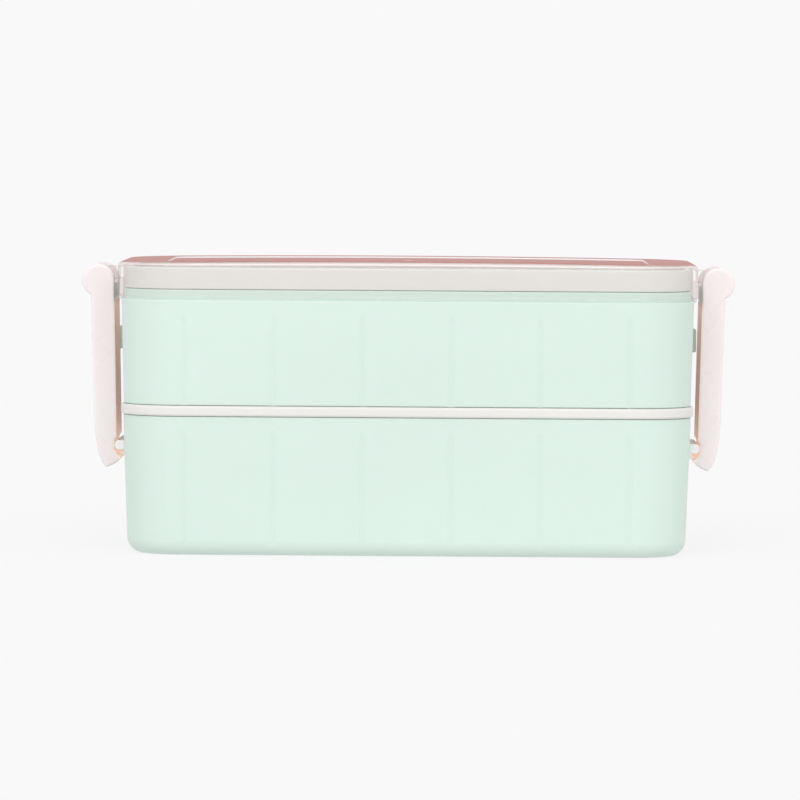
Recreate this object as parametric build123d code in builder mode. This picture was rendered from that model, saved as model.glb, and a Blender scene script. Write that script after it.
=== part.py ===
from build123d import *

import os
from math import atan, degrees, radians, tan

# Two-tier bento lunch box, in millimetres.
# The origin is under the middle of the box, on the surface that it stands on.
# X runs along the box's length, Y from its front to its back, and Z up.

# ---------------------------------------------------------------- driving dimensions
# Every layer has the same rounded outline, larger or smaller by its half length.
END_TO_SIDE = 45.6  # half length minus half depth, the same for each layer
CORNER_CENTRE = 77.9  # half length minus corner radius, so all corners are concentric
GAP = 0.1  # between stacked layers
LEVEL_TOLERANCE = 0.01

LOWER_TOP_HALF = 97.9
LOWER_BASE_HALF = 96.2
LOWER_HEIGHT = 47.8
LOWER_WALL = 2.0
LOWER_FLOOR = 2.8
BASE_EDGE_RADIUS = 5.5
FLOOR_EDGE_RADIUS = 4.0
FOOT_HALF = 88.0
FOOT_RECESS = 0.8
TIER_EDGE_RADIUS = 0.6

BAND_HALF = 98.7
BAND_BOTTOM = LOWER_HEIGHT + GAP
BAND_TOP = 51.5
BAND_EDGE_RADIUS = 1.2
BAND_RECESS_HALF = 95.4
BAND_RECESS_FLOOR = 49.75

UPPER_BOTTOM = BAND_TOP + GAP
UPPER_SHOULDER = 87.7
UPPER_BASE_HALF = 97.8
UPPER_TOP_HALF = 98.7
UPPER_FOOT_HALF = 94.9
UPPER_FOOT_BOTTOM = BAND_RECESS_FLOOR + GAP
UPPER_FLOOR = 52.3
RIM_HALF = 97.6
RIM_TOP = 91.2
RIM_INNER_HALF = 96.3
UPPER_INNER_DRAFT = 1.0

TRAY_HALF = 97.3
TRAY_BOTTOM = RIM_TOP + GAP
TRAY_TOP = 98.8
TRAY_WALL = 1.5
TRAY_LEDGE = 92.8
TRAY_FLOOR = 89.3
TRAY_FLOOR_UNDERSIDE = 87.8
TRAY_FLOOR_HALF = 91.9
TRAY_EDGE_RADIUS = 0.7
TRAY_FLOOR_EDGE = 1.5

LID_HALF = 100.0
LID_WALL = 1.8
SKIRT_BOTTOM = 88.6
LID_TOP = 101.0
LID_EDGE_RADIUS = 1.5
LID_INNER_EDGE_RADIUS = 0.4
LID_PANEL_INSET = 17.0
LID_PANEL_DEPTH = 0.5
GATE_RADIUS = 1.6
GATE_DEPTH = 0.3
END_TAB_WIDTH = 44.0
END_TAB_DROP = 1.7
END_TAB_WALL = 0.9

GROOVE_PITCH = 30.45
GROOVE_RADIUS = 1.9
GROOVE_DEPTH = 0.35
GROOVE_TOP_MARGIN = 4.5  # from a tier's shoulder down to the round end of its grooves
GROOVE_OVERRUN = 1.0  # below a tier's lower edge

# Sealing plugs under the two lids, and their silicone rings
PLUG_DEPTH = 4.5
SEAL_HEIGHT = 2.6
SEAL_RISE = 0.9  # from a plug's lower edge to its groove
SEAL_LIP = 0.5
SEAL_STAND_OUT = 0.2
BAND_PLUG_HALF = 94.6
BAND_GROOVE_HALF = 93.2
BAND_PLUG_INNER_HALF = 91.7
BAND_LIP_HALF = 95.6
TRAY_PLUG_HALF = 94.9
TRAY_GROOVE_HALF = 93.4
TRAY_LIP_HALF = 96.05
TRAY_PLUG_INNER_HALF = 93.0

# Latches, hinged at the top on the lid's knuckles, hooked under the catch bars
PIVOT_X = 107.7
PIVOT_Z = 93.3
LATCH_WIDTH = 36.0
LATCH_SIDE = 2.0
EAR_RADIUS = 5.6
KNUCKLE_RADIUS = 4.4
KNUCKLE_WIDTH = 24.0
KNUCKLE_SIDE_GAP = 0.3
KNUCKLE_SWEEP_RADIUS = 5.7
WEB_BOTTOM = 93.8
PIN_RADIUS = 1.25
PIN_RUNNING_CLEARANCE = 0.05
EAR_SKIN = 1.5
PIN_END_GAP = 0.2
LATCH_OUTER_TOP_X = 110.1
LATCH_OUTER_LOW_X = 108.9
LATCH_INNER_TOP_X = 102.1
LATCH_INNER_LOW_X = 101.1
LATCH_WALL = 1.8
LATCH_TIP = 28.4
LATCH_EDGE = 0.8
BEVELLED_EDGE_LENGTH = 4.0  # the short edges about the hook stay sharp
LATCH_KNEE_Z = 41.0
LATCH_TOE_X = 104.1
LATCH_TOE_TOP = 48.0  # where the outer face starts to curve in towards the tip
LATCH_HEEL = (102.0, 29.3)
HOOK_NOSE_X = 99.7
HOOK_NOSE_THICKNESS = 1.6
LIP_TOP = 31.9
CHANNEL_TOP = 86.2
NOTCH_DEPTH = 0.8

CATCH_WIDTH = 34.4
CATCH_BOTTOM = 34.3
CATCH_TOP = 37.7
CATCH_REACH = 101.7
CATCH_ROOT = 96.4
CATCH_PAD_REACH = 98.3
CATCH_PAD_MARGIN = 2.0
CATCH_NOSE_RADIUS = 1.5
CATCH_CLEARANCE = 1.2

LEDGE_WIDTH = 22.0
LEDGE_BOTTOM = 69.4
LEDGE_TOP = 77.4
LEDGE_REACH = 100.4

DIVIDER_THICKNESS = 1.4
DIVIDER_FOOT = 9.0
DIVIDER_FOOT_CORNER = 3.0
DIVIDER_SIDE_GAP = 1.0
DIVIDER_CORNER = 6.0
DIVIDER_NOTCH_RADIUS = 9.0
LOWER_DIVIDER_X = 26.0
UPPER_DIVIDER_X = -26.0
LOWER_DIVIDER_TOP = 42.6
UPPER_DIVIDER_TOP = 85.2

VENT_X = 66.0
VENT_Y = -38.5
VENT_HOLE_RADIUS = 2.0
VENT_STEM_RADIUS = 1.8
VENT_HEAD_RADIUS = 4.5
VENT_HEAD_HEIGHT = 1.8
VENT_HEAD_EDGE = 0.8
VENT_FLANGE_RADIUS = 3.0
VENT_FLANGE_HEIGHT = 0.8
VENT_TRAVEL = 0.8

# Cutlery, lying in the tray with its handles towards -X
CUTLERY_BASE = TRAY_FLOOR + GAP
CUTLERY_BUTT_X = -86.0
CUTLERY_TIP_X = 74.0
CUTLERY_THICKNESS = 2.0
CUTLERY_RISE = 4.6  # from the tray's floor to the underside of the head
CUTLERY_HEADROOM = 9.0  # above the tray's floor, more than any of the cutlery takes
HANDLE_WIDTH = 13.0
HANDLE_END_RADIUS = 5.8
NECK_WIDTH = 7.0
NECK_X = 20.0
NECK_LENGTH = 14.0
SPOON_Y = 9.0
BOWL_LENGTH = 46.0
BOWL_WIDTH = 30.0
BOWL_WALL = 1.3
BOWL_LEVELS = ((0.0, 0.3), (1.6, 0.66), (CUTLERY_RISE + CUTLERY_THICKNESS, 1.0))
FORK_Y = -24.0
FORK_HEAD_LENGTH = 44.0
FORK_HEAD_WIDTH = 23.0
FORK_HEAD_CORNER = 9.2
TINE_SLOT_LENGTH = 28.0
TINE_SLOT_WIDTH = 2.6
TINE_SLOT_PITCH = 6.0
CHOPSTICK_YS = {"inner_chopstick": 31.4, "outer_chopstick": 39.2}
CHOPSTICK_LENGTH = 172.0
CHOPSTICK_BUTT = 6.4
CHOPSTICK_TIP = 3.6
CHOPSTICK_EDGE = 1.3

LANE_RIB_X = -22.0
LANE_RIB_YS = (-8.0, 26.0)
LANE_RIB_HEIGHT = 2.4
LANE_RIB_LENGTH = 120.0
LANE_RIB_WIDTH = 1.4

# ------------------------------------------------------------------- derived values
LOWER_DRAFT = degrees(atan((LOWER_TOP_HALF - LOWER_BASE_HALF) / LOWER_HEIGHT))
UPPER_DRAFT = degrees(
    atan((UPPER_TOP_HALF - UPPER_BASE_HALF) / (UPPER_SHOULDER - UPPER_BOTTOM))
)
UPPER_INNER_BASE_HALF = RIM_INNER_HALF - (RIM_TOP - UPPER_FLOOR) * tan(
    radians(UPPER_INNER_DRAFT)
)
BAND_PLUG_BOTTOM = BAND_BOTTOM - PLUG_DEPTH
TRAY_PLUG_BOTTOM = TRAY_BOTTOM - PLUG_DEPTH
CATCH_MIDDLE = (CATCH_BOTTOM + CATCH_TOP) / 2
CATCH_HEIGHT = CATCH_TOP - CATCH_BOTTOM


# ------------------------------------------------------------------- shared shapes
def outline(half_length, mode=Mode.ADD):
    """Add the plan outline that every layer shares to the sketch being drawn."""
    half_depth = half_length - END_TO_SIDE
    RectangleRounded(2 * half_length, 2 * half_depth, half_length - CORNER_CENTRE, mode=mode)


def cut_grooves(base_half, bottom, shoulder, draft):
    """Cut the shallow vertical grooves, round-ended at the top, into a tier's drafted walls."""
    start = bottom - GROOVE_OVERRUN
    height = shoulder - GROOVE_TOP_MARGIN - start
    middle_z = start + height / 2
    reach = base_half + (middle_z - bottom) * tan(radians(draft)) + GROOVE_RADIUS - GROOVE_DEPTH
    frames = []
    for side in (-1, 1):
        for step in (-2.5, -1.5, -0.5, 0.5, 1.5, 2.5):
            centre = (step * GROOVE_PITCH, side * (reach - END_TO_SIDE), middle_z)
            frames.append(Location(centre, (side * -draft, 0, 0)))
        for step in (-1, 1):
            centre = (side * reach, step * GROOVE_PITCH, middle_z)
            frames.append(Location(centre, (0, side * draft, 0)))
    with Locations(frames):
        Cylinder(GROOVE_RADIUS, height, mode=Mode.SUBTRACT)
    with Locations([frame * Location((0, 0, height / 2)) for frame in frames]):
        Sphere(GROOVE_RADIUS, mode=Mode.SUBTRACT)


def level_faces(piece, height):
    """Return the flat horizontal faces of a piece that lie at one height."""
    lowest, highest = height - LEVEL_TOLERANCE, height + LEVEL_TOLERANCE
    return piece.faces().filter_by(Axis.Z).filter_by_position(Axis.Z, lowest, highest)


def write(piece, name):
    """Label a finished piece and write its file."""
    piece.part.label = name
    export_step(piece.part, f"parts/{name}.step")


os.makedirs("parts", exist_ok=True)

# ---------------------------------------------------------------------- lower tier
with BuildPart() as lower_tier:
    with BuildSketch(Plane.XY):
        outline(LOWER_BASE_HALF)
    extrude(amount=LOWER_HEIGHT, taper=-LOWER_DRAFT)
    fillet(level_faces(lower_tier, 0).edges(), BASE_EDGE_RADIUS)
    cut_grooves(LOWER_BASE_HALF, 0, LOWER_HEIGHT, LOWER_DRAFT)
    with BuildSketch(Plane.XY.offset(LOWER_FLOOR)):
        outline(LOWER_BASE_HALF - LOWER_WALL)
    extrude(amount=LOWER_HEIGHT, taper=-LOWER_DRAFT, mode=Mode.SUBTRACT)
    fillet(level_faces(lower_tier, LOWER_FLOOR).edges(), FLOOR_EDGE_RADIUS)
    with BuildSketch(Plane.XY):
        outline(FOOT_HALF)
    extrude(amount=FOOT_RECESS, mode=Mode.SUBTRACT)
    # A pad on each end wall holds the tongue of a catch bar.
    pad_thickness = CATCH_PAD_REACH - CATCH_ROOT
    pad_centres = [(side * (CATCH_ROOT + pad_thickness / 2), 0, CATCH_MIDDLE) for side in (-1, 1)]
    with Locations(pad_centres):
        Box(
            pad_thickness,
            CATCH_WIDTH + 2 * CATCH_PAD_MARGIN,
            CATCH_HEIGHT + 2 * CATCH_PAD_MARGIN,
        )
        Box(pad_thickness, CATCH_WIDTH, CATCH_HEIGHT, mode=Mode.SUBTRACT)
write(lower_tier, "lower_tier")

# ---------------------------------------------------------------------- catch bars
for name, side in (("left_catch_bar", -1), ("right_catch_bar", 1)):
    with BuildPart() as catch_bar:
        with BuildSketch(Plane.XZ):
            with Locations((side * (CATCH_ROOT + CATCH_REACH) / 2, CATCH_MIDDLE)):
                Rectangle(CATCH_REACH - CATCH_ROOT, CATCH_HEIGHT)
        extrude(amount=CATCH_WIDTH / 2, both=True)
        nose = catch_bar.faces().sort_by(Axis.X)[-1 if side > 0 else 0]
        fillet(nose.edges().filter_by(Axis.Y), CATCH_NOSE_RADIUS)
    write(catch_bar, name)

# --------------------------------------------------------------------- middle lid
with BuildPart() as middle_lid:
    with BuildSketch(Plane.XY.offset(BAND_BOTTOM)):
        outline(BAND_HALF)
    extrude(amount=BAND_TOP - BAND_BOTTOM)
    fillet(level_faces(middle_lid, BAND_BOTTOM).edges(), BAND_EDGE_RADIUS)
    fillet(level_faces(middle_lid, BAND_TOP).edges(), BAND_EDGE_RADIUS)
    with BuildSketch(Plane.XY.offset(BAND_RECESS_FLOOR)):
        outline(BAND_RECESS_HALF)
    extrude(amount=BAND_TOP - BAND_RECESS_FLOOR, mode=Mode.SUBTRACT)
    with BuildSketch(Plane.XY.offset(BAND_PLUG_BOTTOM)):
        outline(BAND_PLUG_HALF)
        outline(BAND_PLUG_INNER_HALF, mode=Mode.SUBTRACT)
    extrude(amount=PLUG_DEPTH)
    with BuildSketch(Plane.XY.offset(BAND_PLUG_BOTTOM + SEAL_RISE)):
        outline(BAND_PLUG_HALF)
        outline(BAND_GROOVE_HALF, mode=Mode.SUBTRACT)
    extrude(amount=SEAL_HEIGHT, mode=Mode.SUBTRACT)
write(middle_lid, "middle_lid")

# ---------------------------------------------------------------------- upper tier
with BuildPart() as upper_tier:
    with BuildSketch(Plane.XY.offset(UPPER_BOTTOM)):
        outline(UPPER_BASE_HALF)
    extrude(amount=UPPER_SHOULDER - UPPER_BOTTOM, taper=-UPPER_DRAFT)
    fillet(level_faces(upper_tier, UPPER_BOTTOM).edges(), TIER_EDGE_RADIUS)
    fillet(level_faces(upper_tier, UPPER_SHOULDER).edges(), TIER_EDGE_RADIUS)
    cut_grooves(UPPER_BASE_HALF, UPPER_BOTTOM, UPPER_SHOULDER, UPPER_DRAFT)
    with BuildSketch(Plane.XY.offset(UPPER_FOOT_BOTTOM)):
        outline(UPPER_FOOT_HALF)
    extrude(amount=UPPER_BOTTOM - UPPER_FOOT_BOTTOM)
    with BuildSketch(Plane.XY.offset(UPPER_SHOULDER)):
        outline(RIM_HALF)
    extrude(amount=RIM_TOP - UPPER_SHOULDER)
    with BuildSketch(Plane.XY.offset(UPPER_FLOOR)):
        outline(UPPER_INNER_BASE_HALF)
    extrude(amount=RIM_TOP - UPPER_FLOOR, taper=-UPPER_INNER_DRAFT, mode=Mode.SUBTRACT)
    fillet(level_faces(upper_tier, UPPER_FLOOR).edges(), FLOOR_EDGE_RADIUS)
    with BuildSketch(Plane.XY.offset(UPPER_FOOT_BOTTOM)):
        outline(FOOT_HALF)
    extrude(amount=FOOT_RECESS, mode=Mode.SUBTRACT)
    # A small ledge on each end wall, behind the latch
    ledge_depth = LEDGE_REACH - UPPER_BASE_HALF
    ledge_centres = [
        (side * (LEDGE_REACH - ledge_depth / 2), 0, (LEDGE_BOTTOM + LEDGE_TOP) / 2)
        for side in (-1, 1)
    ]
    with Locations(ledge_centres):
        Box(ledge_depth, LEDGE_WIDTH, LEDGE_TOP - LEDGE_BOTTOM)
write(upper_tier, "upper_tier")

# ------------------------------------------------------------ inner lid with its tray
with BuildPart() as inner_lid:
    with BuildSketch(Plane.XY.offset(TRAY_BOTTOM)):
        outline(TRAY_HALF)
    extrude(amount=TRAY_TOP - TRAY_BOTTOM)
    fillet(level_faces(inner_lid, TRAY_TOP).edges(), TRAY_EDGE_RADIUS)
    with BuildSketch(Plane.XY.offset(TRAY_PLUG_BOTTOM)):
        outline(TRAY_PLUG_HALF)
    extrude(amount=PLUG_DEPTH)
    with BuildSketch(Plane.XY.offset(TRAY_LEDGE)):
        outline(TRAY_HALF - TRAY_WALL)
    extrude(amount=TRAY_TOP - TRAY_LEDGE, mode=Mode.SUBTRACT)
    with BuildSketch(Plane.XY.offset(TRAY_FLOOR)):
        outline(TRAY_FLOOR_HALF)
    extrude(amount=TRAY_LEDGE - TRAY_FLOOR, mode=Mode.SUBTRACT)
    fillet(level_faces(inner_lid, TRAY_FLOOR).edges(), TRAY_FLOOR_EDGE)
    with BuildSketch(Plane.XY.offset(TRAY_PLUG_BOTTOM)):
        outline(TRAY_PLUG_INNER_HALF)
    extrude(amount=TRAY_FLOOR_UNDERSIDE - TRAY_PLUG_BOTTOM, mode=Mode.SUBTRACT)
    with BuildSketch(Plane.XY.offset(TRAY_PLUG_BOTTOM + SEAL_RISE)):
        outline(TRAY_PLUG_HALF)
        outline(TRAY_GROOVE_HALF, mode=Mode.SUBTRACT)
    extrude(amount=SEAL_HEIGHT, mode=Mode.SUBTRACT)
    with BuildSketch(Plane.XY.offset(TRAY_FLOOR)):
        with Locations([(LANE_RIB_X, y) for y in LANE_RIB_YS]):
            SlotOverall(LANE_RIB_LENGTH, LANE_RIB_WIDTH)
    extrude(amount=LANE_RIB_HEIGHT)
    with Locations((VENT_X, VENT_Y, TRAY_FLOOR)):
        Cylinder(VENT_HOLE_RADIUS, 2 * PLUG_DEPTH, mode=Mode.SUBTRACT)
write(inner_lid, "inner_lid")

# ----------------------------------------------------------------- silicone seals
for name, bottom, groove_half, body_half, lip_half in (
    (
        "middle_lid_seal",
        BAND_PLUG_BOTTOM + SEAL_RISE,
        BAND_GROOVE_HALF,
        BAND_PLUG_HALF + SEAL_STAND_OUT,
        BAND_LIP_HALF,
    ),
    (
        "inner_lid_seal",
        TRAY_PLUG_BOTTOM + SEAL_RISE,
        TRAY_GROOVE_HALF,
        TRAY_PLUG_HALF + SEAL_STAND_OUT,
        TRAY_LIP_HALF,
    ),
):
    with BuildPart() as seal:
        with BuildSketch(Plane.XY.offset(bottom)):
            outline(body_half)
            outline(groove_half, mode=Mode.SUBTRACT)
        extrude(amount=SEAL_HEIGHT)
        for lip_bottom in (bottom + SEAL_LIP, bottom + SEAL_HEIGHT - 2 * SEAL_LIP):
            with BuildSketch(Plane.XY.offset(lip_bottom)):
                outline(lip_half)
                outline(groove_half, mode=Mode.SUBTRACT)
            extrude(amount=SEAL_LIP)
    write(seal, name)

# ----------------------------------------------------------------------- vent plug
with BuildPart() as vent_plug:
    with BuildSketch(Plane.XY.offset(TRAY_FLOOR_UNDERSIDE - VENT_TRAVEL - VENT_FLANGE_HEIGHT)):
        with Locations((VENT_X, VENT_Y)):
            Circle(VENT_FLANGE_RADIUS)
    extrude(amount=VENT_FLANGE_HEIGHT)
    with BuildSketch(Plane.XY.offset(TRAY_FLOOR_UNDERSIDE - VENT_TRAVEL)):
        with Locations((VENT_X, VENT_Y)):
            Circle(VENT_STEM_RADIUS)
    extrude(amount=TRAY_FLOOR - TRAY_FLOOR_UNDERSIDE + VENT_TRAVEL)
    with BuildSketch(Plane.XY.offset(TRAY_FLOOR)):
        with Locations((VENT_X, VENT_Y)):
            Circle(VENT_HEAD_RADIUS)
    extrude(amount=VENT_HEAD_HEIGHT)
    fillet(level_faces(vent_plug, TRAY_FLOOR + VENT_HEAD_HEIGHT).edges(), VENT_HEAD_EDGE)
write(vent_plug, "vent_plug")

# ----------------------------------------------------------------------- dividers
for name, x, floor, top, inner_half in (
    (
        "lower_divider",
        LOWER_DIVIDER_X,
        LOWER_FLOOR + GAP,
        LOWER_DIVIDER_TOP,
        LOWER_BASE_HALF - LOWER_WALL,
    ),
    (
        "upper_divider",
        UPPER_DIVIDER_X,
        UPPER_FLOOR + GAP,
        UPPER_DIVIDER_TOP,
        UPPER_INNER_BASE_HALF,
    ),
):
    half_depth = inner_half - END_TO_SIDE - DIVIDER_SIDE_GAP
    with BuildPart() as divider:
        with BuildSketch(Plane.YZ.offset(x - DIVIDER_THICKNESS / 2)) as wall:
            with Locations((0, (floor + top) / 2)):
                Rectangle(2 * half_depth, top - floor)
            fillet(wall.vertices(), DIVIDER_CORNER)
            with Locations((0, top)):
                Circle(DIVIDER_NOTCH_RADIUS, mode=Mode.SUBTRACT)
        extrude(amount=DIVIDER_THICKNESS)
        with BuildSketch(Plane.XY.offset(floor)):
            with Locations((x, 0)):
                foot_length = 2 * (half_depth - DIVIDER_CORNER)
                RectangleRounded(DIVIDER_FOOT, foot_length, DIVIDER_FOOT_CORNER)
        extrude(amount=DIVIDER_THICKNESS)
    write(divider, name)


# ------------------------------------------------------------------------ cutlery
def side_strip(y):
    """Draw the side view of a fork or spoon, an even strip that rises to the head."""
    with BuildSketch(Plane.XZ.offset(-y)) as strip:
        with BuildLine():
            low = Spline(
                (CUTLERY_BUTT_X, CUTLERY_BASE),
                (NECK_X, CUTLERY_BASE + CUTLERY_RISE),
                tangents=((1, 0), (1, 0)),
            )
            end = Line(low @ 1, (CUTLERY_TIP_X, CUTLERY_BASE + CUTLERY_RISE))
            rise = Line(end @ 1, end @ 1 + (0, CUTLERY_THICKNESS))
            back = Line(rise @ 1, low @ 1 + (0, CUTLERY_THICKNESS))
            high = Spline(
                back @ 1,
                low @ 0 + (0, CUTLERY_THICKNESS),
                tangents=((-1, 0), (-1, 0)),
            )
            Line(high @ 1, low @ 0)
        make_face()
    return strip.sketch


def handle_plan(y):
    """Draw the plan view of a handle, wide at the butt and narrow at the neck."""
    with BuildSketch(Plane.XY.offset(TRAY_FLOOR)) as plan:
        with BuildLine():
            Polyline(
                (CUTLERY_BUTT_X, y - HANDLE_WIDTH / 2),
                (NECK_X, y - NECK_WIDTH / 2),
                (NECK_X + NECK_LENGTH, y - NECK_WIDTH / 2),
                (NECK_X + NECK_LENGTH, y + NECK_WIDTH / 2),
                (NECK_X, y + NECK_WIDTH / 2),
                (CUTLERY_BUTT_X, y + HANDLE_WIDTH / 2),
                close=True,
            )
        make_face()
        fillet(plan.vertices().group_by(Axis.X)[0], HANDLE_END_RADIUS)
    return plan.sketch


with BuildPart() as spoon:
    extrude(side_strip(SPOON_Y), amount=BOWL_WIDTH, both=True)
    with BuildSketch(Plane.XY.offset(TRAY_FLOOR)):
        add(handle_plan(SPOON_Y))
        with Locations((CUTLERY_TIP_X - BOWL_LENGTH / 2, SPOON_Y)):
            Ellipse(BOWL_LENGTH / 2, BOWL_WIDTH / 2)
    extrude(amount=CUTLERY_HEADROOM, mode=Mode.INTERSECT)
    for inset, mode in ((0, Mode.ADD), (BOWL_WALL, Mode.SUBTRACT)):
        for height, share in BOWL_LEVELS:
            lift = inset if share < 1 else 0
            with BuildSketch(Plane.XY.offset(CUTLERY_BASE + height + lift)):
                with Locations((CUTLERY_TIP_X - BOWL_LENGTH / 2, SPOON_Y)):
                    Ellipse(share * BOWL_LENGTH / 2 - inset, share * BOWL_WIDTH / 2 - inset)
        loft(mode=mode)
write(spoon, "spoon")

with BuildPart() as fork:
    extrude(side_strip(FORK_Y), amount=FORK_HEAD_WIDTH, both=True)
    with BuildSketch(Plane.XY.offset(TRAY_FLOOR)):
        add(handle_plan(FORK_Y))
        with Locations((CUTLERY_TIP_X - FORK_HEAD_LENGTH / 2, FORK_Y)):
            RectangleRounded(FORK_HEAD_LENGTH, FORK_HEAD_WIDTH, FORK_HEAD_CORNER)
        with Locations((CUTLERY_TIP_X - TINE_SLOT_LENGTH / 2 + TINE_SLOT_WIDTH, FORK_Y)):
            with GridLocations(0, TINE_SLOT_PITCH, 1, 3):
                SlotOverall(TINE_SLOT_LENGTH, TINE_SLOT_WIDTH, mode=Mode.SUBTRACT)
    extrude(amount=CUTLERY_HEADROOM, mode=Mode.INTERSECT)
write(fork, "fork")

for name, y in CHOPSTICK_YS.items():
    with BuildPart() as chopstick:
        for x, width in (
            (-CHOPSTICK_LENGTH / 2, CHOPSTICK_BUTT),
            (CHOPSTICK_LENGTH / 2, CHOPSTICK_TIP),
        ):
            with BuildSketch(Plane.YZ.offset(x)):
                with Locations((y, CUTLERY_BASE + width / 2)):
                    RectangleRounded(width, width, CHOPSTICK_EDGE)
        loft()
    write(chopstick, name)

# ----------------------------------------------------------------------- outer lid
with BuildPart() as outer_lid:
    with BuildSketch(Plane.XY.offset(SKIRT_BOTTOM)):
        outline(LID_HALF)
    extrude(amount=LID_TOP - SKIRT_BOTTOM)
    fillet(level_faces(outer_lid, LID_TOP).edges(), LID_EDGE_RADIUS)
    with BuildSketch(Plane.XY.offset(SKIRT_BOTTOM)):
        outline(LID_HALF - LID_WALL)
    extrude(amount=LID_TOP - LID_WALL - SKIRT_BOTTOM, mode=Mode.SUBTRACT)
    fillet(level_faces(outer_lid, LID_TOP - LID_WALL).edges(), LID_INNER_EDGE_RADIUS)
    with BuildSketch(Plane.XY.offset(LID_TOP)):
        outline(LID_HALF - LID_PANEL_INSET)
    extrude(amount=-LID_PANEL_DEPTH, mode=Mode.SUBTRACT)
    with Locations((0, 0, LID_TOP - LID_PANEL_DEPTH)):
        Cylinder(GATE_RADIUS, 2 * GATE_DEPTH, mode=Mode.SUBTRACT)
    # Tabs under the middle of the end walls
    tab_centres = [
        (side * (LID_HALF - END_TAB_WALL / 2), 0, SKIRT_BOTTOM - END_TAB_DROP / 2)
        for side in (-1, 1)
    ]
    with Locations(tab_centres):
        Box(END_TAB_WALL, END_TAB_WIDTH, END_TAB_DROP)
    # Hinge knuckles, each on a web from the end wall
    for side in (-1, 1):
        web_inner = LID_HALF - LID_WALL / 2
        web_top = PIVOT_Z + KNUCKLE_RADIUS
        with BuildSketch(Plane.XZ):
            with Locations((side * PIVOT_X, PIVOT_Z)):
                Circle(KNUCKLE_RADIUS)
            with Locations((side * (web_inner + PIVOT_X) / 2, (WEB_BOTTOM + web_top) / 2)):
                Rectangle(PIVOT_X - web_inner, web_top - WEB_BOTTOM)
            with Locations((side * PIVOT_X, PIVOT_Z)):
                Circle(PIN_RADIUS, mode=Mode.SUBTRACT)
        extrude(amount=KNUCKLE_WIDTH / 2, both=True)
write(outer_lid, "outer_lid")

# ------------------------------------------------------------------------- latches
with BuildPart() as right_latch:
    with BuildSketch(Plane.XZ):
        with BuildLine():
            outer = Polyline(
                (LATCH_OUTER_TOP_X, PIVOT_Z),
                (LATCH_OUTER_TOP_X, CHANNEL_TOP),
                (LATCH_OUTER_LOW_X, LATCH_TOE_TOP),
            )
            EllipticalCenterArc(
                (LATCH_TOE_X, LATCH_TOE_TOP),
                LATCH_OUTER_LOW_X - LATCH_TOE_X,
                LATCH_TOE_TOP - LATCH_TIP,
                start_angle=270,
            )
            nose = (HOOK_NOSE_X + HOOK_NOSE_THICKNESS / 2, LIP_TOP - HOOK_NOSE_THICKNESS)
            ThreePointArc((LATCH_TOE_X, LATCH_TIP), LATCH_HEEL, nose)
            Polyline(
                nose,
                (HOOK_NOSE_X, LIP_TOP - HOOK_NOSE_THICKNESS / 2),
                (HOOK_NOSE_X, LIP_TOP),
                (LATCH_INNER_LOW_X, CATCH_BOTTOM - CATCH_CLEARANCE),
                (LATCH_INNER_LOW_X + NOTCH_DEPTH, CATCH_BOTTOM),
                (LATCH_INNER_LOW_X + NOTCH_DEPTH, CATCH_TOP),
                (LATCH_INNER_LOW_X, CATCH_TOP + CATCH_CLEARANCE),
                (LATCH_INNER_TOP_X, CHANNEL_TOP),
                (LATCH_INNER_TOP_X, PIVOT_Z),
                outer @ 0,
            )
        make_face()
        with Locations((PIVOT_X, PIVOT_Z)):
            Circle(EAR_RADIUS)
    extrude(amount=LATCH_WIDTH / 2, both=True)
    rims = right_latch.faces().filter_by(Axis.Y).edges()
    chamfer(rims.filter_by(lambda edge: edge.length > BEVELLED_EDGE_LENGTH), LATCH_EDGE)
    # The channel between the two side plates, open towards the box
    with BuildSketch(Plane.XZ):
        Polygon(
            (LATCH_OUTER_TOP_X - LATCH_WALL, CHANNEL_TOP),
            (LATCH_OUTER_LOW_X - LATCH_WALL, LATCH_KNEE_Z),
            (LATCH_TOE_X, LIP_TOP),
            (HOOK_NOSE_X - LATCH_WALL, LIP_TOP),
            (HOOK_NOSE_X - LATCH_WALL, CHANNEL_TOP),
            align=None,
        )
    extrude(amount=LATCH_WIDTH / 2 - LATCH_SIDE, both=True, mode=Mode.SUBTRACT)
    # Room for the lid's knuckle between the two ears
    with BuildSketch(Plane.XZ):
        with Locations((PIVOT_X, PIVOT_Z)):
            Circle(KNUCKLE_SWEEP_RADIUS)
    extrude(amount=KNUCKLE_WIDTH / 2 + KNUCKLE_SIDE_GAP, both=True, mode=Mode.SUBTRACT)
    # The pin's bore, blind at the front
    with BuildSketch(Plane.XZ.offset(-LATCH_WIDTH / 2)):
        with Locations((PIVOT_X, PIVOT_Z)):
            Circle(PIN_RADIUS + PIN_RUNNING_CLEARANCE)
    extrude(amount=LATCH_WIDTH - EAR_SKIN, mode=Mode.SUBTRACT)
write(right_latch, "right_latch")

with BuildPart() as left_latch:
    mirror(right_latch.part, about=Plane.YZ)
write(left_latch, "left_latch")

# --------------------------------------------------------------------- hinge pins
for name, side in (("left_hinge_pin", -1), ("right_hinge_pin", 1)):
    with BuildPart() as hinge_pin:
        with BuildSketch(Plane.XZ.offset(-LATCH_WIDTH / 2 + PIN_END_GAP)):
            with Locations((side * PIVOT_X, PIVOT_Z)):
                Circle(PIN_RADIUS)
        extrude(amount=LATCH_WIDTH - EAR_SKIN - 2 * PIN_END_GAP)
    write(hinge_pin, name)
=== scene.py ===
from math import cos, hypot, inf, pi, radians, sin, tan

import bmesh
import bpy
from mathutils import Matrix, Vector


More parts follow.
